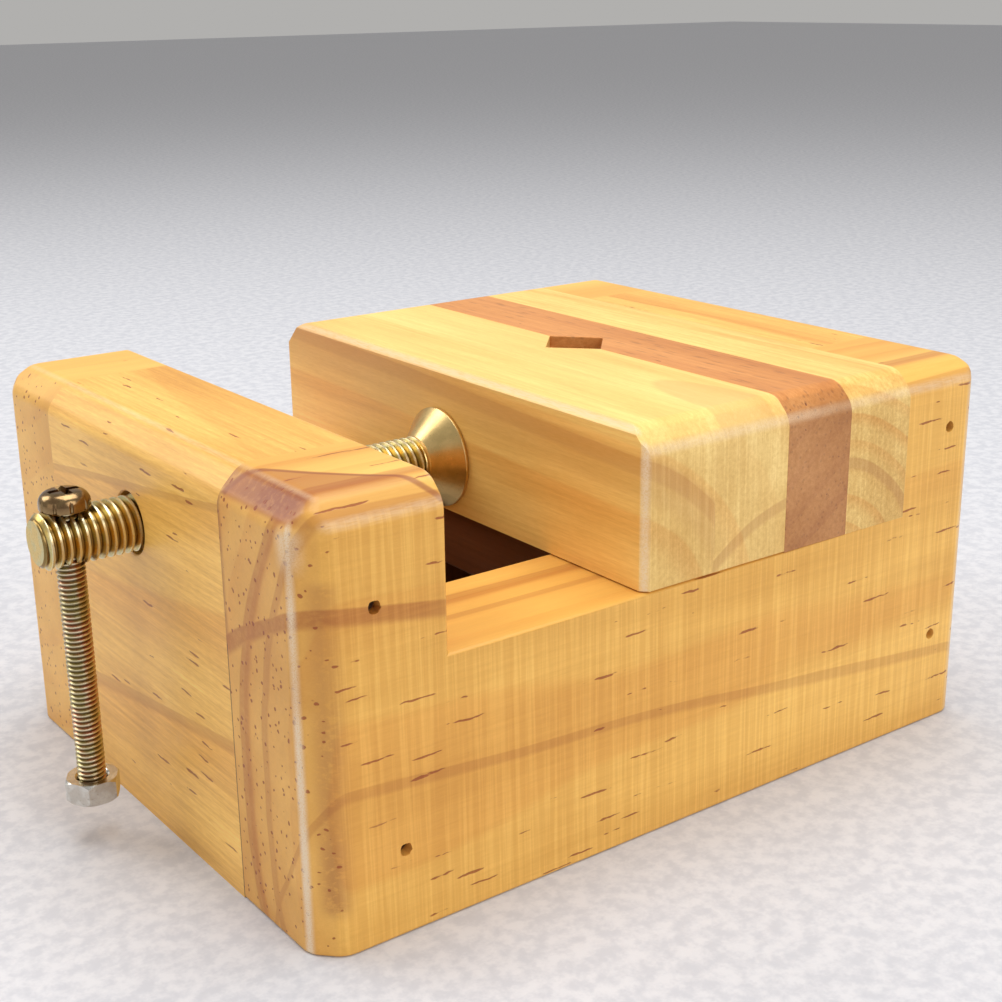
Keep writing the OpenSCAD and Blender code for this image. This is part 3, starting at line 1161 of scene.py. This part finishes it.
@dataclass
class WoodenFrame:
    """The box of two notched rails and two end blocks."""

    plan: Layout
    edge_round: float = 1.3 * MM
    pit_radius: float = 0.9 * MM
    pit_depth: float = 2.3 * MM
    small_round: float = 0.5 * MM
    pit_fray: float = 0.16 * MM
    bore: float = 4.5 * MM
    bore_mouth: float = 4.7 * MM
    barrel_bore: float = 5.05 * MM
    barrel_depth: float = 11.05 * MM
    barrel: float = 4.98 * MM
    nut_bore: float = 4.05 * MM
    plate_slot: float = 1.9 * MM

    def build(self) -> None:
        """Makes the rails, the blocks, the tee nut and the brads."""
        for side in Side:
            self.rail(side)
        self.front_block()
        self.rear_block()
        self.tee_nut()
        self.brads()

    def rail(self, side: Side) -> None:
        """Saws one rail, notches it and drills its brad pits.

        Args:
            side: which rail.
        """
        plan = self.plan
        name = f"{side.name.lower()}_rail"
        low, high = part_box(name)
        outer = low.y if side is Side.RIGHT else high.y
        piece = Bench.block(f"{name}_wood", low, high)
        notch = Bench.block(
            "notch_tool", (plan.wall, low.y - MM, plan.notch), (plan.ear, high.y + MM, high.z + MM))
        Bench.cut(piece, notch)
        corner, top = plan.corner_bevel(side), plan.side_bevel(side)
        Bench.saw(piece, (low.x + corner, outer, 0), (-1, side.value, 0))
        Bench.saw(piece, (high.x - plan.rear_bevel, outer, 0), (1, side.value, 0))
        Bench.saw(piece, (0, outer, high.z - top), (0, side.value, 1))
        Bench.saw(piece, (low.x, 0, high.z - plan.front_bevel), (-1, 0, 1))
        Bench.saw(piece, (high.x, 0, high.z - plan.rear_bevel), (1, 0, 1))
        inner = plan.inner * side.value
        Bench.ease(piece, self.edge_round, 4, lambda mid, way: self.is_outer_bevel(mid, inner))
        Bench.ease(piece, self.small_round, 3, lambda mid, way: abs(mid.y - inner) > 0.05 * MM
                   and abs(mid.x - plan.ear) > 0.05 * MM and not self.is_outer_bevel(mid, inner))
        for brad in self.brad_names(side):
            b_low, b_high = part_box(brad)
            at = ((b_low.x + b_high.x) / 2, outer + side.value * MM, (b_low.z + b_high.z) / 2)
            pit = Bench.rod(
                "pit_tool", at, Axis.Y, self.pit_radius, -side.value * (self.pit_depth + MM), sides=14)
            with Bench.editing(pit):
                bpy.ops.transform.vertex_random(offset=self.pit_fray, seed=len(brad))
                bpy.ops.mesh.quads_convert_to_tris()
            Bench.cut(piece, pit)
        Bench.polish(piece)
        dress(piece, self.rail_finish(side))
        install(piece, Body.FRAME, name)

    def is_outer_bevel(self, mid: Vector, inner: float) -> bool:
        """Whether an edge borders one of a rail's sawn bevels.

        Args:
            mid: the edge's middle.
            inner: Y of the rail's inner face.

        Returns:
            True for the borders of the bevels, not for the foot, the notch or the joint.
        """
        plan = self.plan
        if abs(mid.y - inner) < 0.05 * MM or mid.z < 0.05 * MM or abs(mid.x - plan.ear) < 0.05 * MM:
            return False
        near_notch = abs(mid.z - plan.notch) < 0.05 * MM and plan.wall - MM < mid.x < plan.ear + MM
        return not near_notch and abs(mid.x - plan.wall) > 0.05 * MM

    def rail_finish(self, side: Side) -> WoodFinish:
        """The wood of one rail.

        Args:
            side: which rail.

        Returns:
            Its finish.
        """
        plan = self.plan
        x0, x1 = plan.low.x / MM, plan.high.x / MM
        y = (plan.low.y if side is Side.RIGHT else plan.high.y) / MM
        z = plan.high.z / MM
        s = side.value
        corner, top = plan.corner_bevel(side) / MM, plan.side_bevel(side) / MM
        front, rear = plan.front_bevel / MM, plan.rear_bevel / MM
        # Pale edge lines: wear, plus painted sheen along the rounded lower border of the side bevel.
        worn_and_sheen = (
            EdgeMark(Axis.Z, (x0, y - s * corner), 1.1, 1.4),
            EdgeMark(Axis.Y, (x0 + front, z), 0.8, 0.35),
            EdgeMark(Axis.X, (y, z - top), 1.3, 0.45),
            EdgeMark(Axis.Z, (x1 - rear, y), 1.2, 0.40),
            EdgeMark(Axis.Y, (plan.wall / MM, z - 0.5), 0.9, 0.35),
        )
        # Half-width of the well; inside it the rail's inner face gets painted shade.
        painted_shade_well = abs(plan.inner) / MM
        if side is Side.LEFT:
            left_wood = {**PINE, "end": (0.98, 0.96, 0.95)}
            return WoodFinish(**left_wood, pith=(60.0, 110.0), spacing=7.0, ring=0.25, shift=140.0,
                              canals=0.40, fiber=0.045, saw_marks=0.07, worn_and_sheen=worn_and_sheen, painted_shade_well=painted_shade_well)
        upper, lower = -0.13, -0.032
        bands = (
            Band((y - 14.5, -13.2), 60.0 - upper * x0, 1.5, 0.62, slope=upper, fades=x0 + 24.0),
            Band((y - 64.7, -28.4), 80.8 - lower * x0, 0.6, 0.32, slope=lower),
            Band((y - 60.0, 20.0), 71.6, 1.0, 0.38),
            Band((y - 60.0, 20.0), 76.6, 1.6, 0.48),
        )
        stains = (Stain((1.0, 1.0, 0.0), x0 + y + 20.5, z - 3.2, y + 20.45, y + 3.4, 0.62),)
        darkened = (
            EdgeMark(Axis.Z, (x0 + corner - 1.0, y + 0.4), 3.4, 0.65, below=50.0, above=6.0),
            EdgeMark(Axis.Y, (x0 + 0.6 * front, z - 0.4 * front), 0.72 * front, 1.0, above=y + 3.0, full=0.5),
            EdgeMark(Axis.Z, (x0, y + 20.5), 1.0, 0.8, above=37.0),
        )
        worn_and_sheen += (EdgeMark(Axis.Z, (x0 + 0.2, y + corner + 0.3), 3.0, 0.9, above=z - 8.5, below=z - 4.0),)
        return WoodFinish(**PINE, pith=(y - 60.0, 20.0), tilt=(0.0, -0.02), spacing=5.5, ring=0.40, shift=0.0,
                          canals=0.94, specks=0.30, fiber=0.045, saw_marks=0.075, bands=bands, worn_and_sheen=worn_and_sheen,
                          darkened=darkened, stains=stains, painted_shade_well=painted_shade_well)

    def front_block(self) -> None:
        """Saws the front block and bores it for the screw."""
        plan = self.plan
        low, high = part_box("front_block")
        piece = Bench.block("front_block_wood", low, high)
        Bench.saw(piece, (low.x, 0, high.z - plan.front_bevel), (-1, 0, 1))
        Bench.ease(piece, self.edge_round, 4, lambda mid, way: abs(way.y) > 0.9 and mid.z > high.z - 8 * MM
                   and mid.x < high.x - MM)
        Bench.ease(piece, self.small_round, 3, lambda mid, way: abs(way.y) > 0.9 and mid.z > high.z - MM
                   and mid.x > high.x - MM)
        axis = self.screw_axis()
        bore = Bench.rod("bore_tool", (low.x - MM, 0, axis), Axis.X, self.bore, high.x - low.x + 2 * MM)
        Bench.cut(piece, bore)
        mouth = Bench.rod("mouth_tool", (low.x - 0.01 * MM, 0, axis), Axis.X, self.bore_mouth, 0.2 * MM,
                          tip=self.bore)
        Bench.cut(piece, mouth)
        barrel = Bench.rod("barrel_tool", (high.x - self.barrel_depth, 0, axis), Axis.X, self.barrel_bore,
                           12 * MM)
        Bench.cut(piece, barrel)
        Bench.polish(piece)
        x0, z = low.x / MM, high.z / MM
        worn_and_sheen = (
            EdgeMark(Axis.Y, (x0 + plan.front_bevel / MM, z), 0.8, 0.40),
            EdgeMark(Axis.Y, (high.x / MM, z - 0.5), 0.9, 0.35),
        )
        pith = (x0 + 70.0, -20.0)
        bands = (Band(pith, 99.9, 0.55, 0.36, until=x0 + 3.0), Band(pith, 79.6, 0.65, 0.36, until=x0 + 3.0))
        finish = WoodFinish(
            **PINE, grain=Axis.Y, pith=pith, tilt=(0.0, -0.14), spacing=10.0, ring=0.45, warp=2.0, shift=60.0,
            canals=0.42, canal_length=13.0, worn_and_sheen=worn_and_sheen, bands=bands, saw_marks=0.03)
        dress(piece, finish)
        install(piece, Body.FRAME, "front_block")

    def rear_block(self) -> None:
        """Saws the rear block."""
        plan = self.plan
        low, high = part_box("rear_block")
        piece = Bench.block("rear_block_wood", low, high)
        Bench.saw(piece, (high.x, 0, high.z - plan.rear_bevel), (1, 0, 1))
        Bench.ease(piece, self.edge_round, 4, lambda mid, way: abs(way.y) > 0.9 and mid.x > low.x + MM
                   and mid.z > MM)
        Bench.polish(piece)
        edge = EdgeMark(Axis.Y, (high.x / MM - plan.rear_bevel / MM, high.z / MM), 0.8, 0.3)
        finish = WoodFinish(**PINE, grain=Axis.Y, pith=(low.x / MM + 40.0, 120.0), spacing=5.0, ring=0.6,
                            shift=210.0, canals=0.48, saw_marks=0.02, worn_and_sheen=(edge,))
        dress(piece, finish)
        install(piece, Body.FRAME, "rear_block")

    def screw_axis(self) -> float:
        """Height of the clamp screw's axis."""
        low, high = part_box("clamp_screw")
        return (low.z + high.z) / 2

    def tee_nut(self) -> None:
        """Presses the flanged tee nut with its four prong slots."""
        plan = self.plan
        low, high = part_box("tee_nut")
        axis = self.screw_axis()
        radius = (high.z - low.z) / 2
        flange = Bench.rod("plate_tool", (plan.wall, 0, axis), Axis.X, radius, high.x - plan.wall, sides=64)
        Bench.ease(flange, 0.35 * MM, 3, lambda mid, way: True)
        for quarter in range(4):
            turn = math.radians(45 + 90 * quarter)
            at = Vector((plan.wall, math.cos(turn) * radius, axis + math.sin(turn) * radius))
            slot = Bench.rod("slot_tool", at - Vector((MM, 0, 0)), Axis.X, self.plate_slot, 4 * MM, sides=6)
            Bench.cut(flange, slot)
        piece = Bench.rod("tee_nut_metal", (low.x, 0, axis), Axis.X, self.barrel,
                          plan.wall - low.x + 0.2 * MM)
        Bench.cut(piece, flange, how="UNION")
        bore = Bench.rod("bore_tool", (low.x - MM, 0, axis), Axis.X, self.nut_bore, high.x - low.x + 2 * MM)
        Bench.cut(piece, bore)
        Bench.polish(piece, weighted=False, angle=35)
        dress(piece, PlatedFinish(**TEE_PLATE, rough=0.32))
        install(piece, Body.FRAME, "tee_nut")

    @staticmethod
    def brad_names(side: Side) -> list[str]:
        """Names of the four brads on one side."""
        return [f"brad_{end}_{level}_{side.name.lower()}"
                for end in ("front", "rear") for level in ("upper", "lower")]

    def brads(self) -> None:
        """Darkens the brads at the bottom of their pits."""
        for side in Side:
            for name in self.brad_names(side):
                dress(frame["nodes"][name], IronFinish())
                log.info("%s keeps its CAD shape", name)


@dataclass
class FixedJaw:
    """The hardwood facing and the pale strip behind it."""

    plan: Layout
    edge_round: float = 1.3 * MM
    joint_round: float = 0.10 * MM
    vee_round: float = 0.22 * MM

    def build(self) -> None:
        """Makes both strips."""
        self.strip("fixed_facing", "facing_wood", True, self.facing_finish())
        self.strip("fixed_backing", "backing_wood", False, self.backing_finish())

    def strip(self, node: str, name: str, vee: bool, finish: WoodFinish) -> None:
        """Saws one strip across the frame.

        Args:
            node: the CAD node it stands for.
            name: the piece's name.
            vee: whether the vee notch is cut in it.
            finish: its wood.
        """
        low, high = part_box(node)
        piece = Bench.block(name, low, high)
        self.plan.saw_side_tops(piece)
        Bench.ease(piece, self.edge_round, 4, lambda mid, way: abs(way.x) > 0.9 and mid.z > low.z + MM)
        if vee:
            Bench.cut(piece, self.plan.vee_tool())
        Bench.ease(piece, self.vee_round if vee else self.joint_round, 2,
                   lambda mid, way: abs(mid.x - high.x) > 0.05 * MM and mid.z > low.z + MM
                   and abs(way.x) < 0.9)
        Bench.polish(piece)
        dress(piece, finish)
        install(piece, Body.FRAME, node)

    def worn_and_sheen(self) -> tuple[EdgeMark, ...]:
        """The pale line along the lower border of the side bevels: sanding wear plus painted sheen on the
        round.
        """
        plan = self.plan
        return tuple(EdgeMark(Axis.X, (edge / MM, (plan.high.z - plan.side_bevel(side)) / MM), 1.3, 0.45)
                     for side, edge in ((Side.RIGHT, plan.low.y), (Side.LEFT, plan.high.y)))

    def facing_finish(self) -> WoodFinish:
        """The brown hardwood."""
        return WoodFinish(
            **BROWN, grain=Axis.Y, pith=(self.plan.joint / MM - 60.0, 150.0), spacing=5.0, ring=0.45,
            shift=20.0, canals=0.12, canal_length=9.0, canal_width=1.3, pores=0.30, saw_marks=0.0,
            mottle=0.16, fiber=0.13, worn_and_sheen=self.worn_and_sheen())

    def backing_finish(self) -> WoodFinish:
        """The pale strip, with one arc of a ring on its end."""
        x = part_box("fixed_backing")[0].x / MM
        centre = (x - 4.0, 28.5)
        return WoodFinish(**PALE, grain=Axis.Y, pith=centre, spacing=3.9, ring=0.55, warp=1.2, shift=95.0,
                          canals=-0.35, specks=0.0, saw_marks=0.07, worn_and_sheen=self.worn_and_sheen(),
                          bands=(Band(centre, 19.8, 1.1, 0.38),))


@dataclass
class SlidingJaw:
    """The sliding jaw, its guide block and the two screws that hold it."""

    plan: Layout
    edge_round: float = 1.3 * MM
    thin_round: float = 0.4 * MM

    def build(self) -> None:
        """Makes the jaw and what hangs under it."""
        self.jaw()
        self.tongue()
        for side in Side:
            self.wood_screw(side)

    def jaw(self) -> None:
        """Saws the jaw, bevels it and cuts its vee notch."""
        plan = self.plan
        low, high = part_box("moving_jaw")
        piece = Bench.block("moving_jaw_wood", low, high)
        plan.saw_side_tops(piece)
        small = plan.small_bevel
        Bench.saw(piece, (low.x, 0, high.z - small), (-1, 0, 1))
        for side, edge in ((Side.RIGHT, low.y), (Side.LEFT, high.y)):
            Bench.saw(piece, (low.x + small, edge, 0), (-1, side.value, 0))
        Bench.ease(piece, self.edge_round, 4, lambda mid, way: abs(way.x) > 0.9 and mid.z > low.z + MM)
        Bench.ease(piece, self.thin_round, 2, lambda mid, way: mid.x < low.x + 2 * MM and abs(way.x) < 0.9)
        Bench.cut(piece, plan.vee_tool())
        Bench.ease(piece, 0.2 * MM, 2, lambda mid, way: mid.x > high.x - 7 * MM and mid.z > high.z - 0.05 * MM
                   and abs(way.x) < 0.9)
        Bench.polish(piece)
        x0, z = low.x / MM, high.z / MM
        # Pale edge lines: wear, plus painted sheen along the side bevel borders.
        worn_and_sheen = [EdgeMark(Axis.Y, (x0 + 0.5, z - 0.5), 1.0, 0.60)]
        for side, edge in ((Side.RIGHT, low.y / MM), (Side.LEFT, high.y / MM)):
            worn_and_sheen.append(EdgeMark(Axis.Z, (x0 + 0.5, edge - side.value * 0.5), 1.0, 0.70))
            worn_and_sheen.append(EdgeMark(Axis.X, (edge, z - plan.side_bevel(side) / MM), 1.3, 0.45))
        seam = x0 + 12.5
        pith = (x0 - 12.0, 28.0)
        bands = (Band(pith, 30.6, 1.7, 0.38, until=seam), Band(pith, 29.2, 3.6, 0.20, until=seam),
                 Band((x0 + 37.0, 8.0), 39.3, 1.1, 0.32, after=seam))
        arch = EdgeMark(Axis.Z, (high.x / MM - 7.5, low.y / MM + 1.0), 20.0, 0.26, above=z - 3.0,
                        squeeze=3.6, full=0.88)
        finish = WoodFinish(**PALE, grain=Axis.Y, pith=pith, tilt=(0.0, 0.03), spacing=8.4, ring=0.38,
                            warp=1.6, shift=30.0, canals=-0.35, specks=0.0, fiber=0.09, saw_marks=0.07,
                            worn_and_sheen=tuple(worn_and_sheen), darkened=(arch,), bands=bands, seam=seam)
        dress(piece, finish)
        install(piece, Body.JAW, "moving_jaw")

    def tongue(self) -> None:
        """Saws the guide block and sinks its two screw heads."""
        low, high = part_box("guide_tongue")
        piece = Bench.block("guide_tongue_wood", low, high)
        Bench.ease(piece, 0.6 * MM, 3, lambda mid, way: mid.z < high.z - MM)
        for side in Side:
            at = self.screw_place(side)
            sink = Bench.rod("sink_tool", at - Vector((0, 0, 0.01 * MM)), Axis.Z, 3.8 * MM, 1.9 * MM,
                             tip=1.95 * MM)
            Bench.cut(piece, sink)
            hole = Bench.rod("hole_tool", at - Vector((0, 0, MM)), Axis.Z, 1.95 * MM, 15 * MM, sides=24)
            Bench.cut(piece, hole)
        Bench.polish(piece)
        # The guide block gets dark wood as painted shade, standing in for the shadow under the jaw.
        finish = WoodFinish(**PAINTED_SHADE_WOOD, grain=Axis.Y, pith=(low.x / MM, -20.0), spacing=6.0, ring=0.6,
                            shift=300.0, canals=0.35)
        dress(piece, finish)
        install(piece, Body.JAW, "guide_tongue")

    @staticmethod
    def screw_place(side: Side) -> Vector:
        """Centre of a wood screw's head at the guide block's lower face."""
        low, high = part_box(f"tongue_screw_{side.name.lower()}")
        return Vector(((low.x + high.x) / 2, (low.y + high.y) / 2, low.z))

    def wood_screw(self, side: Side) -> None:
        """Turns one wood screw with a cross recess and a coarse thread.

        Args:
            side: which screw.
        """
        node = f"tongue_screw_{side.name.lower()}"
        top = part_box(node)[1].z
        at = self.screw_place(side)
        head = Bench.rod(f"{node}_head", at, Axis.Z, 3.65 * MM, 1.8 * MM, tip=1.85 * MM)
        Bench.ease(head, 0.12 * MM, 2, lambda mid, way: mid.z < at.z + 0.1 * MM)
        for wide, deep in ((3.6, 0.8), (0.8, 3.6)):
            reach = Vector((wide / 2, deep / 2, 1.3)) * MM
            Bench.cut(head, Bench.block("recess_tool", at - reach, at + reach))
        shank = Bench.thread(f"{node}_shank", at + Vector((0, 0, 1.7 * MM)), Axis.Z, 1.85 * MM, 1.25 * MM,
                             1.4 * MM, top - at.z - 4.2 * MM, 20)
        point = Bench.rod(f"{node}_point", (at.x, at.y, top - 2.6 * MM), Axis.Z, 1.3 * MM, 2.5 * MM,
                          sides=20, tip=0.1 * MM)
        Bench.ease(point, 0.08 * MM, 2, lambda mid, way: True, sharpness=50)
        piece = Bench.join(f"{node}_metal", head, shank, point)
        Bench.polish(piece, weighted=False, angle=35)
        dress(piece, PlatedFinish(**SCREW_PLATE, rough=0.34))
        install(piece, Body.JAW, node)


@dataclass
class ClampScrew:
    """The coarse hand screw with its countersunk head."""

    pitch: float = 1.25 * MM
    groove: float = 0.72 * MM
    head_rim: float = 0.6 * MM
    end_bevel: float = 0.9 * MM
    cross_radius: float = 2.25 * MM

    def build(self) -> None:
        """Winds the thread, turns the head and joins them."""
        low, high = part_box("clamp_screw")
        axis = (low.z + high.z) / 2
        crest = self.crest()
        head_r = (high.z - low.z) / 2
        cone = head_r - crest
        start = Vector((low.x, 0, axis))
        shank = Bench.thread("clamp_screw_shank", start, Axis.X, crest, crest - self.groove, self.pitch,
                             high.x - low.x - self.head_rim - 0.4 * MM, 44)
        blank = Bench.rod("blank_tool", start, Axis.X, crest + 0.2 * MM, high.x - low.x, sides=64)
        with Bench.editing(blank, "EDGE", everything=False) as mesh:
            for edge in mesh.edges:
                edge.select = all(v.co.x < low.x + 0.01 * MM for v in edge.verts)
            bmesh.update_edit_mesh(blank.data)
            bpy.ops.mesh.bevel(offset=self.end_bevel + 0.2 * MM, segments=1, affect="EDGES")
        Bench.cut(shank, blank, how="INTERSECT")
        head = Bench.rod("clamp_screw_head", (high.x - self.head_rim - cone, 0, axis), Axis.X, crest * 0.97,
                         cone, sides=72, tip=head_r - 0.02 * MM)
        rim = Bench.rod("clamp_screw_rim", (high.x - self.head_rim, 0, axis), Axis.X, head_r, self.head_rim,
                        sides=72)
        Bench.ease(rim, 0.15 * MM, 3, lambda mid, way: True)
        collar = Bench.rod("clamp_screw_collar", (high.x - self.head_rim - cone - 0.6 * MM, 0, axis), Axis.X,
                           crest - 0.25 * MM, 0.9 * MM, sides=64)
        Bench.ease(collar, 0.2 * MM, 2, lambda mid, way: mid.x < high.x - self.head_rim - cone)
        bar_low, bar_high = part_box("tommy_bar")
        bar_x = (bar_low.x + bar_high.x) / 2
        drill = Bench.rod("drill_tool", (bar_x, 0, axis - 8 * MM), Axis.Z, self.cross_radius, 16 * MM,
                          sides=32)
        Bench.cut(shank, drill)
        piece = Bench.join("clamp_screw_metal", shank, head, rim, collar)
        Bench.polish(piece, weighted=False, angle=32)
        finish = PlatedFinish(**GOLD_THREAD, rough=0.30, axis=Axis.X, centre=(0.0, axis / MM),
                              crest=crest / MM, root=(crest - self.groove) / MM)
        dress(piece, finish)
        self.head_finish(piece, high.x - self.head_rim - cone - 0.5 * MM)
        install(piece, Body.SCREW, "clamp_screw")

    @staticmethod
    def crest() -> float:
        """Outside radius of the thread, from the tee nut that it runs in."""
        return 4.0 * MM

    @staticmethod
    def head_finish(piece: Thing, start: float) -> None:
        """Gives the smooth head its own brassy finish.

        Args:
            piece: the whole screw.
            start: where the head begins along X.
        """
        finish = PlatedFinish(**GOLD_HEAD, rough=0.29, texture=0.25)
        piece.data.materials.append(finish.make("clamp_screw_head.finish"))
        for face in piece.data.polygons:
            if face.center.x > start:
                face.material_index = 1


@dataclass
class TommyBar:
    """The machine screw that turns the clamp screw, and its nut."""

    pitch: float = 0.7 * MM
    radius: float = 2.0 * MM
    groove: float = 0.36 * MM
    head_height: float = 2.6 * MM
    recess_arms: tuple[tuple[float, float], ...] = ((4.8 * MM, 1.2 * MM), (1.2 * MM, 4.8 * MM))
    recess_depth: float = 1.6 * MM
    nicks: int = 10
    nick_radius: float = 0.32 * MM
    nut_chamfer: float = 0.5 * MM
    mouth_chamfer: float = 0.38 * MM

    def build(self) -> None:
        """Makes the bar and the nut."""
        self.bar()
        self.nut()

    def place(self) -> tuple[Vector, Vector, float, float]:
        """Corners of the bar and the X and Z of its head's seat."""
        low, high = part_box("tommy_bar")
        return low, high, (low.x + high.x) / 2, high.z - self.head_height

    def bar(self) -> None:
        """Winds the bar's thread and domes its head."""
        low, high, x, seat = self.place()
        length = seat - low.z + 0.3 * MM
        crest, root = self.radius - 0.02 * MM, self.radius - self.groove
        shank = Bench.thread("tommy_bar_shank", Vector((x, 0, low.z - self.pitch)), Axis.Z, crest, root,
                             self.pitch, length + 2 * self.pitch, 28)
        blank = Bench.rod("blank_tool", (x, 0, low.z), Axis.Z, self.radius + 0.2 * MM, length)
        Bench.cut(shank, blank, how="INTERSECT")
        head_r = (high.x - low.x) / 2
        head = Bench.rod("tommy_bar_head", (x, 0, seat), Axis.Z, head_r, high.z - seat, sides=56)
        Bench.ease(head, 1.75 * MM, 7, lambda mid, way: mid.z > high.z - 0.05 * MM)
        Bench.ease(head, 0.25 * MM, 2, lambda mid, way: mid.z < seat + 0.05 * MM)
        for wide, deep in self.recess_arms:
            tool = Bench.block("recess_tool", (x - wide / 2, -deep / 2, high.z - self.recess_depth),
                               (x + wide / 2, deep / 2, high.z + MM))
            with Bench.editing(tool, "FACE", everything=False) as mesh:
                for face in mesh.faces:
                    face.select = face.normal.z < -0.9
                bmesh.update_edit_mesh(tool.data)
                bpy.ops.transform.resize(value=(0.7, 0.7, 1.0), center_override=(x, 0, 0))
            Bench.cut(head, tool)
        out = head_r + 0.1 * MM
        for step in range(self.nicks):
            turn = math.tau * step / self.nicks + 0.2
            at = (x + math.cos(turn) * out, math.sin(turn) * out, seat + 0.2 * MM)
            nick = Bench.rod("nick_tool", at, Axis.Z, self.nick_radius, 3.0 * MM, sides=8)
            Bench.cut(head, nick)
        piece = Bench.join("tommy_bar_metal", shank, head)
        Bench.polish(piece, weighted=False, angle=35)
        finish = PlatedFinish(**OLIVE_THREAD, rough=0.30, axis=Axis.Z, centre=(x / MM, 0.0),
                              crest=crest / MM, root=root / MM)
        dress(piece, finish)
        head_coat = PlatedFinish(**BRONZE_HEAD, rough=0.21, texture=0.4)
        piece.data.materials.append(head_coat.make("tommy_bar_head.finish"))
        for face in piece.data.polygons:
            if face.center.z > seat - 0.02 * MM:
                face.material_index = 1
        install(piece, Body.BAR, "tommy_bar")

    def nut(self) -> None:
        """Chamfers the hexagon nut and bores it."""
        low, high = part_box("tommy_nut")
        x, flat = (low.x + high.x) / 2, (high.y - low.y) / 2
        piece = Bench.rod("tommy_nut_metal", (x, 0, low.z - MM), Axis.Z, flat / math.cos(math.radians(30)),
                          high.z - low.z + 2 * MM, sides=6)
        with Bench.editing(piece):
            bpy.ops.transform.rotate(value=math.radians(30), orient_axis="Z", center_override=(x, 0, 0))
        if max(abs(v.co.y) for v in piece.data.vertices) > flat * 1.02:
            with Bench.editing(piece):
                bpy.ops.transform.rotate(value=math.radians(30), orient_axis="Z", center_override=(x, 0, 0))
        turned = Bench.rod("turned_tool", (x, 0, low.z), Axis.Z, flat * 1.17, high.z - low.z, sides=72)
        with Bench.editing(turned, "EDGE", everything=False) as mesh:
            for edge in mesh.edges:
                edge.select = abs(edge.verts[0].co.z - edge.verts[1].co.z) < 0.01 * MM
            bmesh.update_edit_mesh(turned.data)
            bpy.ops.mesh.bevel(offset=self.nut_chamfer, segments=1, affect="EDGES")
        with Bench.editing(turned):
            bpy.ops.transform.rotate(value=math.radians(2), orient_axis="Z", center_override=(x, 0, 0))
        Bench.cut(piece, turned, how="INTERSECT")
        bore = Bench.rod("bore_tool", (x, 0, low.z - MM), Axis.Z, self.radius + 0.03 * MM,
                         high.z - low.z + 2 * MM, sides=32)
        Bench.cut(piece, bore)
        Bench.ease(piece, self.mouth_chamfer, 1, lambda mid, way: abs(way.z) < 0.1
                   and math.hypot(mid.x - x, mid.y) < self.radius + 0.1 * MM)
        Bench.polish(piece, weighted=False, angle=25)
        dress(piece, PlatedFinish(**NUT_PLATE, rough=0.22, texture=0.3))
        install(piece, Body.BAR, "tommy_nut")


# ---------------------------------------------------------------- studio


@dataclass
class Studio:
    """The pale table, the soft lights and the camera."""

    eye: tuple[float, float, float] = (-0.1363, -0.1979, 0.1156)
    heading: float = 53.63
    dip: float = 17.98
    roll: float = -0.74
    lens: float = 57.1

    def build(self) -> None:
        """Sets the stage."""
        self.table()
        self.camera()
        self.lamp("left", (-0.42, 0.55, 0.50), 0.40, 2.0)
        self.lamp("front", (-0.85, -0.10, 0.16), 0.45, 0.45)
        self.lamp("overhead", (0.08, 0.02, 0.75), 0.60, 4.5)
        self.lamp("right", (0.10, -0.75, 0.42), 0.55, 2.4)
        world = bpy.data.worlds.new("studio")
        world.use_nodes = True
        world.node_tree.nodes["Background"].inputs["Color"].default_value = (1.0, 0.985, 0.96, 1.0)
        world.node_tree.nodes["Background"].inputs["Strength"].default_value = 0.44
        bpy.context.scene.world = world
        bpy.context.scene.view_settings.view_transform = "Standard"

    def table(self) -> None:
        """Lays the pale table under the vise."""
        Bench.clear()
        bpy.ops.mesh.primitive_grid_add(
            x_subdivisions=4, y_subdivisions=4, size=6.0, location=(0.5, 0.5, 0.0))
        floor = Bench.settle("table")
        floor.data.materials.append(FloorFinish().make("table.finish"))

    def camera(self) -> None:
        """Sets the camera on its tripod."""
        data = bpy.data.cameras.new("camera")
        data.lens = self.lens
        data.clip_start = 0.01
        tripod = bpy.data.objects.new("camera", data)
        bpy.context.scene.collection.objects.link(tripod)
        yaw, pitch, roll = (math.radians(a) for a in (self.heading, self.dip, self.roll))
        ahead = Vector((math.cos(yaw) * math.cos(pitch), math.sin(yaw) * math.cos(pitch), -math.sin(pitch)))
        right = Vector((math.sin(yaw), -math.cos(yaw), 0.0))
        up = right.cross(ahead)
        tilted = right * math.cos(roll) + up * math.sin(roll)
        top = up * math.cos(roll) - right * math.sin(roll)
        turn = Matrix((tilted, top, -ahead)).transposed().to_4x4()
        tripod.matrix_world = Matrix.Translation(self.eye) @ turn
        bpy.context.scene.camera = tripod

    def lamp(self, name: str, place: tuple[float, float, float], size: float, power: float) -> None:
        """Hangs a soft square lamp that looks at the vise.

        Args:
            name: the lamp's name.
            place: where it hangs.
            size: its edge.
            power: its power in watts.
        """
        data = bpy.data.lights.new(name, "AREA")
        data.size = size
        data.energy = power
        lamp = bpy.data.objects.new(name, data)
        lamp.location = place
        aim = Vector((0.0, 0.0, 0.03)) - Vector(place)
        lamp.rotation_euler = aim.to_track_quat("-Z", "Y").to_euler()
        bpy.context.scene.collection.objects.link(lamp)


def main() -> None:
    """Builds every sub-assembly in order."""
    logging.basicConfig(level=logging.INFO, format="%(name)s: %(message)s")
    Bench.clear()
    plan = Layout()
    WoodenFrame(plan).build()
    FixedJaw(plan).build()
    SlidingJaw(plan).build()
    ClampScrew().build()
    TommyBar().build()
    Studio().build()
    bpy.context.view_layer.update()


if __name__ == "__main__":
    main()
